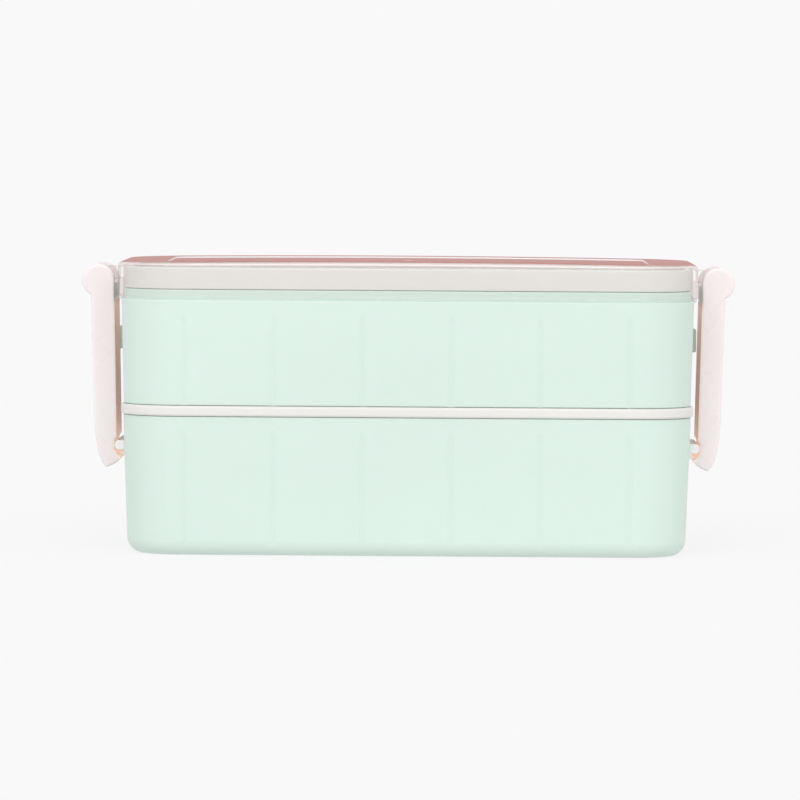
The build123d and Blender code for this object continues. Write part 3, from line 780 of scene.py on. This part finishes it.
def make_catch_bars():
    """The bars under which the latches hook, round-nosed where they stand out."""
    for name in ("left_catch_bar", "right_catch_bar"):
        low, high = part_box(name)
        side = 1 if low.x > 0 else -1
        root, tip = sorted((abs(low.x), abs(high.x)))
        nose = 1.5 * MM
        points = rounded(
            ((root, low.z, 0), (tip, low.z, nose), (tip, high.z, nose), (root, high.z, 0))
        )
        points = [(side * point.x, point.y) for point in points]
        mesh = slab(points, "Y", low.y, high.y, 0.35 * MM)
        # The bars' brightened white is painted light for the shade they sit in.
        piece_from(name + "_moulded", mesh, "lower_tier", "white_plastic", BAR_WHITE_PAINTED_LIT, name)


# ---- lids and seals
def seal_groove(plug, low_z, depth):
    """Corners of the groove round a lid's plug that holds its seal."""
    base = low_z + SEAL_RISE
    top = base + SEAL_HEIGHT
    return (plug, base, 0), (plug - depth, base, 0), (plug - depth, top, 0), (plug, top, 0)


def make_middle_lid():
    """The white plate between the tiers, with a plug below and a recess on top."""
    low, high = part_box("middle_lid")
    half = high.x
    plate = high.z - BAND_PLATE
    plug = half - BAND_PLUG_INSET
    profile = rounded(
        (
            (CAP_HALF, plate, 0),
            (plug - BAND_PLUG_WALL, plate, SMALL_EDGE),
            (plug - BAND_PLUG_WALL, low.z, PLUG_EDGE),
            (plug, low.z, PLUG_EDGE),
            *seal_groove(plug, low.z, BAND_SEAL_DEPTH),
            (plug, plate, 0.3 * MM),
            (half, plate, BAND_EDGE),
            (half, high.z, BAND_EDGE),
            (half - BAND_RECESS_INSET, high.z, SMALL_EDGE),
            (half - BAND_RECESS_INSET, high.z - BAND_RECESS, SMALL_EDGE),
            (CAP_HALF, high.z - BAND_RECESS, 0),
        )
    )
    mesh = layer(profile)
    piece_from("white_middle_lid", mesh, "middle_lid", "white_plastic", WHITE, "middle_lid")


def make_inner_lid():
    """The white inner lid: a sealing plug below, and a cutlery tray with two lane ribs."""
    low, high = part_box("inner_lid")
    half = high.x
    wall_low = low.z + PLUG_DEPTH
    plug = half - TRAY_PLUG_INSET
    floor = wall_low - TRAY_FLOOR_DROP
    underside = wall_low - TRAY_UNDERSIDE_DROP
    profile = rounded(
        (
            (CAP_HALF, underside, 0),
            (plug - TRAY_PLUG_WALL, underside, 0.3 * MM),
            (plug - TRAY_PLUG_WALL, low.z, 0.3 * MM),
            (plug, low.z, 0.3 * MM),
            *seal_groove(plug, low.z, TRAY_SEAL_DEPTH),
            (plug, wall_low, 0.2 * MM),
            (half, wall_low, 0.4 * MM),
            (half, high.z, TRAY_LIP),
            (half - TRAY_WALL, high.z, TRAY_LIP),
            (half - TRAY_WALL, wall_low + TRAY_LEDGE, 0.8 * MM),
            (half - TRAY_FLOOR_INSET, wall_low + TRAY_LEDGE, 0.6 * MM),
            (half - TRAY_FLOOR_INSET, floor, TRAY_FLOOR_EDGE),
            (CAP_HALF, floor, 0),
        )
    )
    mesh = layer(profile)
    ribs = []
    for y in RIB_Y:
        ends = RIB_HALF_LENGTH - RIB_HALF_WIDTH
        points = arc((RIB_X + ends, y), RIB_HALF_WIDTH, -90, 90, 8)
        points += arc((RIB_X - ends, y), RIB_HALF_WIDTH, 90, 270, 8)
        ribs.append(slab(points, "Z", floor - 0.5 * MM, floor + RIB_HEIGHT, 0.3 * MM))
    mesh = combined(mesh, ribs, "UNION")
    vent_low, vent_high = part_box("vent_plug")
    vent = (vent_low + vent_high) / 2
    hole = turned(
        ((0, -5 * MM), (VENT_HOLE, -5 * MM), (VENT_HOLE, 5 * MM), (0, 5 * MM)),
        (vent.x, vent.y, floor),
    )
    mesh = combined(mesh, [hole], "DIFFERENCE")
    piece_from("white_inner_lid", mesh, "inner_lid", "white_plastic", WHITE, "inner_lid")


def make_seals():
    """The two silicone rings, each with two thin lips that stand out of its groove."""
    for name, body, depth in (
        ("middle_lid_seal", "middle_lid", BAND_SEAL_DEPTH),
        ("inner_lid_seal", "inner_lid", TRAY_SEAL_DEPTH),
    ):
        low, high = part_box(name)
        lip = high.x
        inner = lip - depth - (1.0 if body == "middle_lid" else 1.15) * MM
        body_half = inner + depth + 0.2 * MM
        corners = [(inner, low.z, 0.2 * MM), (body_half, low.z, 0.2 * MM)]
        for lip_low in (low.z + SEAL_LIP, high.z - 2 * SEAL_LIP):
            corners += [
                (body_half, lip_low, 0.05 * MM),
                (lip, lip_low + 0.1 * MM, 0.15 * MM),
                (lip, lip_low + SEAL_LIP, 0.15 * MM),
                (body_half, lip_low + SEAL_LIP, 0.05 * MM),
            ]
        corners += [(body_half, high.z, 0.2 * MM), (inner, high.z, 0.2 * MM)]
        mesh = layer(rounded(corners, 3), closed=True)
        piece_from(name + "_ring", mesh, body, "silicone", SILICONE, name)


def make_vent_plug():
    """The small silicone plug in the inner lid's floor."""
    low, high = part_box("vent_plug")
    centre = (low + high) / 2
    floor = high.z - 1.8 * MM
    head, stem, flange = 4.5 * MM, 1.8 * MM, 3.0 * MM
    profile = [(0, low.z), (flange - 0.2 * MM, low.z), (flange, low.z + 0.2 * MM)]
    profile += [(flange, low.z + 0.8 * MM), (stem, low.z + 0.8 * MM), (stem, floor), (head, floor)]
    profile += [
        (head - 0.8 * MM + 0.8 * MM * cos(a), high.z - 0.8 * MM + 0.8 * MM * sin(a))
        for a in (radians(15 * step) for step in range(7))
    ]
    # A shallow dish in the middle of the head marks where a finger presses.
    profile += [(2.6 * MM, high.z), (2.2 * MM, high.z - 0.15 * MM), (1.2 * MM, high.z - 0.35 * MM)]
    profile += [(0, high.z - 0.4 * MM)]
    mesh = turned(profile, (centre.x, centre.y, 0))
    piece_from("vent_plug_moulded", mesh, "vent_plug", "silicone", SILICONE, "vent_plug")


# ---- outer lid
def make_outer_lid():
    """The clear lid: a skirt, a sunk top panel, end tabs and a hinge knuckle at each end."""
    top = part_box("outer_lid")[1].z
    skirt = top - SKIRT_DROP
    panel = LID_HALF - PANEL_INSET
    profile = rounded(
        (
            (CAP_HALF, top - LID_WALL, 0),
            (LID_HALF - LID_WALL, top - LID_WALL, LID_INNER_EDGE),
            (LID_HALF - LID_WALL, skirt, 0.4 * MM),
            (LID_HALF, skirt, 0.4 * MM),
            (LID_HALF, top, LID_EDGE),
            (panel, top, 0.25 * MM),
            (panel, top - PANEL_DEPTH, 0.2 * MM),
            (CAP_HALF, top - PANEL_DEPTH, 0),
        ),
        8,
    )
    mesh = layer(profile)
    pivot_z = top - PIVOT_DROP
    additions, bores = [], []
    for side in (-1, 1):
        thickness, width, drop = END_TAB
        centre = (side * (LID_HALF - thickness / 2), 0, skirt - drop / 2 + 0.5 * MM)
        additions.append(block(centre, (thickness, width, drop + 1 * MM), 0.2 * MM))
        pivot_x = side * pin_axis().x
        web_x = side * (LID_HALF - LID_WALL / 2)
        points = arc((pivot_x, pivot_z), KNUCKLE_RADIUS, 90, 90 - side * 353, 40)
        bottom = pivot_z + WEB_RISE
        points = [point for point in points if side * (point.x - pivot_x) >= 0 or point.y < bottom]
        points += [Vector((web_x, bottom)), Vector((web_x, pivot_z + KNUCKLE_RADIUS))]
        half_width = KNUCKLE_WIDTH / 2
        additions.append(slab(points, "Y", -half_width, half_width))
        seat = PIN_RADIUS + PIN_SEAT
        ends = ((0, -CUT_REACH), (seat, -CUT_REACH), (seat, CUT_REACH), (0, CUT_REACH))
        bores.append(turned(ends, (pivot_x, 0, pivot_z), "Y", 32))
    mesh = combined(mesh, additions, "UNION")
    gate = GATE_RADIUS
    gate_profile = ((0, -GATE_DEPTH), (gate, -GATE_DEPTH), (gate, 2 * MM), (0, 2 * MM))
    bores.append(turned(gate_profile, (0, 0, top - PANEL_DEPTH), "Z", 32))
    mesh = crowned(combined(mesh, bores, "DIFFERENCE"), top)
    piece_from(
        "clear_outer_lid", mesh, "outer_lid", "clear_pink_plastic", CLEAR_PINK, "outer_lid"
    )


def crowned(mesh, top):
    """Let the lid's upper face droop slightly towards its ends."""
    shape = bmesh.new()
    shape.from_mesh(mesh)
    for step in range(1, CROWN_STRIPS):
        x = LID_HALF * (2 * step / CROWN_STRIPS - 1)
        geometry = [*shape.verts, *shape.edges, *shape.faces]
        bmesh.ops.bisect_plane(shape, geom=geometry, plane_co=(x, 0, 0), plane_no=(1, 0, 0))
    for point in shape.verts:
        if point.co.z > top - LID_EDGE - 0.1 * MM:
            point.co.z -= LID_CROWN * min(1, abs(point.co.x) / LID_HALF) ** 2
    return mesh_from(shape)


def make_hinge_pins():
    """A steel pin through each knuckle and both ears of its latch, chamfered at both ends."""
    for name in ("left_hinge_pin", "right_hinge_pin"):
        low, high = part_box(name)
        centre = (low + high) / 2
        narrow = PIN_RADIUS - PIN_CHAMFER
        profile = (
            (0, low.y),
            (narrow, low.y),
            (PIN_RADIUS, low.y + PIN_CHAMFER),
            (PIN_RADIUS, high.y - PIN_CHAMFER),
            (narrow, high.y),
            (0, high.y),
        )
        mesh = turned(profile, (centre.x, 0, centre.z), "Y", 32)
        piece_from(name + "_rod", mesh, "outer_lid", "pin_steel", STEEL, name)


# ---- latches
def latch_mesh():
    """The right latch: a round-eared arm with a channel behind it and a hook at its foot."""
    low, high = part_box("right_latch")
    axis = pin_axis()
    arm_outer, arm_inner = axis.x + ARM_OUTER, axis.x - ARM_INNER
    foot_outer, foot_inner = arm_outer - ARM_LEAN, arm_inner - FOOT_LEAN
    channel_top = axis.z - EAR_RADIUS - 1.5 * MM
    toe_x = axis.x - TOE_INSET
    bar_low, bar_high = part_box("right_catch_bar")
    lip_top = bar_low.z - HOOK_GAP
    toe = [
        Vector((toe_x + (foot_outer - toe_x) * place.x, low.z + TOE_RISE * (1 + place.y)))
        for place in arc((0, 0), 1, -90, 0, 16)
    ]
    points = arc((axis.x, axis.z), EAR_RADIUS, -65, 180, 40)
    points += rounded(
        (
            (arm_inner, axis.z, 0),
            (arm_inner, channel_top, 0),
            (foot_inner, bar_high.z + 1.2 * MM, 1.0 * MM),
            (foot_inner + NOTCH_DEPTH, bar_high.z, 0.6 * MM),
            (foot_inner + NOTCH_DEPTH, bar_low.z, 0.6 * MM),
            (foot_inner, bar_low.z - 1.2 * MM, 0.8 * MM),
            (low.x, lip_top, 0.3 * MM),
            (low.x, lip_top - NOSE, 0.4 * MM),
            (low.x + 0.8 * MM, lip_top - 2 * NOSE, 1.0 * MM),
            (low.x + HEEL_X, low.z + HEEL_RISE, 0),
        ),
        8,
    )[1:]
    points += toe + [Vector((arm_outer, channel_top))]
    mesh = slab(points, "Y", low.y, high.y, LATCH_EDGE, LATCH_EDGE_STEPS)
    channel = (
        (arm_outer - LATCH_WALL, channel_top),
        (foot_outer - LATCH_WALL, axis.z - KNEE_DROP),
        (toe_x, lip_top),
        (low.x - LATCH_WALL, lip_top),
        (low.x - LATCH_WALL, channel_top),
    )
    half_width = high.y - LATCH_SIDE
    room = KNUCKLE_WIDTH / 2 + KNUCKLE_SIDE_GAP
    sweep = ((0, -room), (KNUCKLE_ROOM, -room), (KNUCKLE_ROOM, room), (0, room))
    bore, start, end = PIN_RADIUS + PIN_RUNNING_CLEARANCE, low.y + EAR_SKIN, 2 * high.y
    bored = ((0, start), (bore, start), (bore, end), (0, end))
    pivot = (axis.x, 0, axis.z)
    cuts = [
        slab(channel, "Y", -half_width, half_width),
        turned(sweep, pivot, "Y", 64),
        turned(bored, pivot, "Y", 32),
    ]
    return combined(mesh, cuts, "DIFFERENCE")


def make_latches():
    """The two latches, which mirror each other."""
    right = latch_mesh()
    left = right.copy()
    left.transform(Matrix.Diagonal((-1, 1, 1, 1)))
    left.flip_normals()
    for name, mesh in (("right_latch", right), ("left_latch", left)):
        piece_from(name + "_arm", mesh, name, "latch_plastic", LATCH_PINK, name)


# ---- dividers, cutlery
def make_dividers():
    """The two removable dividers, each a plate with a finger notch, on a flat foot."""
    for name in ("lower_divider", "upper_divider"):
        low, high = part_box(name)
        x = (low.x + high.x) / 2
        thickness, corner, notch = 1.4 * MM, 6 * MM, 9 * MM
        points = rounded(
            (
                (low.y, low.z, corner),
                (high.y, low.z, corner),
                (high.y, high.z, corner),
                (notch, high.z, 0.8 * MM),
                (notch * cos(radians(20)), high.z - notch * sin(radians(20)), 0),
            )
        )
        points += arc((0, high.z), notch, -30, -150, 20)
        points += rounded(
            (
                (-notch * cos(radians(20)), high.z - notch * sin(radians(20)), 0),
                (-notch, high.z, 0.8 * MM),
                (low.y, high.z, corner),
                (low.y, low.z, 0),
            )
        )[:-1]
        plate = slab(points, "X", x - thickness / 2, x + thickness / 2, 0.45 * MM)
        foot_size = (high.x - low.x, high.y - low.y - 2 * corner, thickness)
        foot = block((x, 0, low.z + thickness / 2), foot_size, 0.5 * MM)
        mesh = combined(plate, [foot], "UNION")
        piece_from(name + "_plate", mesh, name, "divider_plastic", DIVIDER_PINK, name)


def strip_piece(columns, thickness):
    """A closed strip from rows of points that run across it, thickened downwards."""
    shape = bmesh.new()
    upper = [[shape.verts.new(point) for point in row] for row in columns]
    lower = [[shape.verts.new(point - Vector((0, 0, thickness))) for point in row] for row in columns]
    width, length = len(upper[0]), len(upper)
    for i in range(length - 1):
        for j in range(width - 1):
            shape.faces.new((upper[i][j], upper[i + 1][j], upper[i + 1][j + 1], upper[i][j + 1]))
            shape.faces.new((lower[i][j], lower[i][j + 1], lower[i + 1][j + 1], lower[i + 1][j]))
    border = [(i, 0) for i in range(length)] + [(length - 1, j) for j in range(1, width)]
    border += [(i, width - 1) for i in range(length - 2, -1, -1)]
    border += [(0, j) for j in range(width - 2, 0, -1)]
    for (i, j), (k, m) in zip(border, border[1:] + border[:1]):
        shape.faces.new((upper[i][j], lower[i][j], lower[k][m], upper[k][m]))
    return mesh_from(shape)


def subdivided(mesh, levels):
    """A mesh smoothed by subdivision."""
    helper = bpy.data.objects.new("helper", mesh)
    scene.collection.objects.link(helper)
    step = helper.modifiers.new("smooth", "SUBSURF")
    step.levels = levels
    depsgraph = bpy.context.evaluated_depsgraph_get()
    result = bpy.data.meshes.new_from_object(helper.evaluated_get(depsgraph))
    bpy.data.objects.remove(helper)
    return result


def ease(share):
    """A smooth step from 0 to 1."""
    share = max(0, min(1, share))
    return share * share * (3 - 2 * share)


def along_handle(x, start):
    """How far along a handle a place is, eased from 0 at its butt to 1 at its neck."""
    return ease((x - start) / (NECK_X - start))


def skin(shape, loops):
    """Join neighbouring loops of the same length with faces."""
    for first, second in zip(loops, loops[1:]):
        for index in range(len(first)):
            following = (index + 1) % len(first)
            shape.faces.new((first[index], first[following], second[following], second[index]))


def make_spoon():
    """The spoon: a tapering handle that rises to the neck, and a shallow oval bowl."""
    low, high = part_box("spoon")
    y = (low.y + high.y) / 2
    thickness = 1.6 * MM
    bowl_half, bowl_width = 23 * MM, (high.y - low.y) / 2
    bowl_x = high.x - bowl_half
    rows = []
    steps = 44
    for i in range(steps + 1):
        share = i / steps
        x = low.x + 0.4 * MM + (high.x - low.x - 0.8 * MM) * share
        rise = low.z + thickness + HANDLE_RISE * along_handle(x, low.x)
        along = (x - bowl_x) / bowl_half
        handle = BUTT_HALF + (NECK_HALF - BUTT_HALF) * along_handle(x, low.x)
        end = min(1, (x - low.x) / (6 * MM))
        handle *= (1 - (1 - end) ** 2) ** 0.5
        bowl = bowl_width * (max(0, 1 - along * along)) ** 0.5
        half = max(bowl, handle) if along < 0 else max(bowl, 1.5 * MM)
        row = []
        for j in range(9):
            across = -1 + j / 4
            dish = max(0, 1 - along * along) ** 0.5
            drop = 5.2 * MM * dish * dish * (1 - across * across) if abs(along) < 1 else 0
            crown = 0.5 * MM * (1 - across * across) * (1 - ease((x - 10 * MM) / (30 * MM)))
            row.append(Vector((x, y + half * across, rise - drop + crown)))
        rows.append(row)
    mesh = subdivided(strip_piece(rows, thickness), 1)
    piece_from(
        "spoon_moulded", mesh, "spoon", "cutlery_plastic", CUTLERY_MINT, "spoon", smooth_angle=60
    )


def make_fork():
    """The fork: the same handle, with a head cut into four tines."""
    low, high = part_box("fork")
    y = (low.y + high.y) / 2
    head_half = (high.y - low.y) / 2
    head_x = high.x - 44 * MM
    slot_x = high.x - 25 * MM
    thickness = 1.9 * MM
    slot_half, slot_pitch = 1.3 * MM, 6.0 * MM

    def height(x):
        """How high the fork's upper face lies at a place along it."""
        tine_dip = 1.6 * MM * ease((x - slot_x) / (25 * MM)) * ease((high.x - x) / (10 * MM))
        rise = HANDLE_RISE * along_handle(x, low.x)
        return low.z + thickness + rise - tine_dip

    def half_width(x):
        """Half the fork's width at a place along it."""
        handle = BUTT_HALF + (NECK_HALF - BUTT_HALF) * along_handle(x, low.x)
        head = NECK_HALF + (head_half - NECK_HALF) * ease((x - head_x) / (16 * MM))
        end = min(1, max(0, (x - low.x) / (6 * MM)))
        tip = min(1, max(0, (high.x - x) / (9 * MM)))
        return max(handle, head) * (1 - (1 - end) ** 2) ** 0.5 * (0.72 + 0.28 * ease(tip))

    def strip(start, end, steps, low_side, high_side):
        """One closed strip of the fork between two places and two edges across."""
        rows = []
        for i in range(steps + 1):
            x = start + (end - start) * i / steps
            row = []
            for j in range(5):
                across = low_side(x) + (high_side(x) - low_side(x)) * j / 4
                row.append(Vector((x, y + across, height(x))))
            rows.append(row)
        return strip_piece(rows, thickness)

    body = strip(
        low.x + 0.3 * MM, slot_x + 2 * MM, 36, lambda x: -half_width(x), lambda x: half_width(x)
    )
    tines = []
    for index in range(4):
        inner = (index - 2) * slot_pitch + slot_half if index else None
        outer = (index - 1) * slot_pitch - slot_half if index < 3 else None
        taper = [
            lambda x, inner=inner: -half_width(x) if inner is None else inner,
            lambda x, outer=outer: half_width(x) if outer is None else outer,
        ]
        tines.append(strip(slot_x, high.x - 0.4 * MM, 12, *taper))
    mesh = combined(body, tines, "UNION")
    shape = bmesh.new()
    shape.from_mesh(mesh)
    bmesh.ops.dissolve_limit(shape, angle_limit=radians(0.4), verts=shape.verts, edges=shape.edges)
    rims = [e for e in shape.edges if len(e.link_faces) == 2 and e.calc_face_angle() > radians(50)]
    bmesh.ops.bevel(
        shape,
        geom=rims,
        offset=0.45 * MM,
        segments=3,
        profile=0.5,
        affect="EDGES",
        clamp_overlap=True,
    )
    piece_from("fork_moulded", mesh_from(shape), "fork", "cutlery_plastic", CUTLERY_MINT, "fork")


def make_chopsticks():
    """A pair of chopsticks, square and round-cornered at the butt, round at the tip."""
    for name in ("inner_chopstick", "outer_chopstick"):
        low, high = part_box(name)
        y = (low.y + high.y) / 2
        butt, tip = high.z - low.z, TIP_WIDTH
        shape = bmesh.new()
        rings = []
        stations = ((0, 0.72), (0.004, 0.93), (0.012, 1), (0.5, 1), (0.985, 1), (0.996, 0.9), (1, 0.6))
        for share, pinch in stations:
            width = butt + (tip - butt) * share
            roundness = 0.22 + 0.28 * share
            x = low.x + (high.x - low.x) * share
            half = width / 2
            corner = roundness * width * pinch
            ring = []
            for quarter in range(4):
                centre = Matrix.Rotation(quarter * pi / 2, 2) @ Vector(
                    (half * pinch - corner, half * pinch - corner)
                )
                for point in arc(centre, corner, 90 * quarter, 90 * quarter + 90, 5):
                    ring.append(shape.verts.new((x, y + point.x, low.z + half + point.y)))
            rings.append(ring)
        skin(shape, rings)
        shape.faces.new(rings[0])
        shape.faces.new(rings[-1])
        # Three shallow rings near the tip give it grip.
        mesh = mesh_from(shape)
        cuts = []
        for step in range(3):
            x = high.x - (10 + 5 * step) * MM
            outer = 3 * MM
            share = (x - low.x) / (high.x - low.x)
            half = (butt + (tip - butt) * share) / 2
            inner = half - GRIP_DEPTH
            ring_shape = bmesh.new()
            loops = []
            for radius, offset in ((inner, -0.5), (outer, -0.8), (outer, 0.8), (inner, 0.5)):
                circle = arc((y, low.z + half), radius, 0, 360, 24)[:-1]
                places = [(x + offset * MM, point.x, point.y) for point in circle]
                loops.append([ring_shape.verts.new(place) for place in places])
            skin(ring_shape, loops + loops[:1])
            cuts.append(mesh_from(ring_shape))
        mesh = combined(mesh, cuts, "DIFFERENCE")
        piece_from(name + "_moulded", mesh, name, "cutlery_plastic", CUTLERY_MINT, name)


make_lower_tier()
make_catch_bars()
make_middle_lid()
make_upper_tier()
make_inner_lid()
make_seals()
make_vent_plug()
make_dividers()
make_spoon()
make_fork()
make_chopsticks()
make_outer_lid()
make_hinge_pins()
make_latches()


# ---- floor, light, camera
def make_floor():
    """A plain pale floor, with a faint mottle."""
    shape = bmesh.new()
    bmesh.ops.create_circle(shape, cap_ends=True, segments=96, radius=14.0)
    floor = bpy.data.objects.new("floor", mesh_from(shape))
    scene.collection.objects.link(floor)
    nodes = Nodes("pale_floor")
    mottle = nodes.spread(nodes.noise(1.5, 2), 0, 1)
    shade = nodes.blend(mottle, FLOOR_SHADE, tuple(channel * 1.01 for channel in FLOOR_SHADE))
    nodes.link(shade, "Base Color")
    nodes.set(
        Roughness=0.9,
        Specular_IOR_Level=0.0,
        Emission_Color=(1, 1, 1, 1),
        Emission_Strength=FLOOR_GLOW,
    )
    floor.data.materials.append(nodes.material)


def make_light(name, azimuth, elevation, strength):
    """A very soft lamp, far away; azimuth 0 is in front, and 90 on the right."""
    light = bpy.data.lights.new(name, "SUN")
    light.angle = radians(LIGHT_SPREAD)
    light.energy = strength
    lamp = bpy.data.objects.new(name, light)
    scene.collection.objects.link(lamp)
    across, up = radians(azimuth), radians(elevation)
    place = Vector((sin(across) * cos(up), -cos(across) * cos(up), sin(up)))
    lamp.location = place
    lamp.rotation_euler = place.to_track_quat("Z", "Y").to_euler()


def make_camera(middle):
    """A long lens, a little above the lid, turned and rolled slightly."""
    camera_data = bpy.data.cameras.new("camera")
    camera_data.lens = LENS
    camera_data.sensor_width = SENSOR
    camera_data.clip_end = 100
    camera = bpy.data.objects.new("camera", camera_data)
    scene.collection.objects.link(camera)
    yaw = radians(CAMERA_YAW)
    place = Vector((sin(yaw) * CAMERA_DISTANCE, -cos(yaw) * CAMERA_DISTANCE, CAMERA_HEIGHT))
    camera.location = place
    aim = Vector(middle) - place
    turn = aim.to_track_quat("-Z", "Y").to_matrix() @ Matrix.Rotation(radians(CAMERA_ROLL), 3, "Z")
    camera.rotation_euler = turn.to_euler()
    camera_data.shift_x = CAMERA_SHIFT[0]
    camera_data.shift_y = CAMERA_SHIFT[1]
    scene.camera = camera


make_floor()
world = bpy.data.worlds.new("studio")
world.use_nodes = True
world.node_tree.nodes["Background"].inputs["Color"].default_value = (*WORLD_SHADE, 1)
scene.world = world
middle = (cad_box[0] + cad_box[1]) / 2
for light in LIGHTS:
    make_light(*light)
make_camera(middle)
scene.view_settings.view_transform = "Standard"
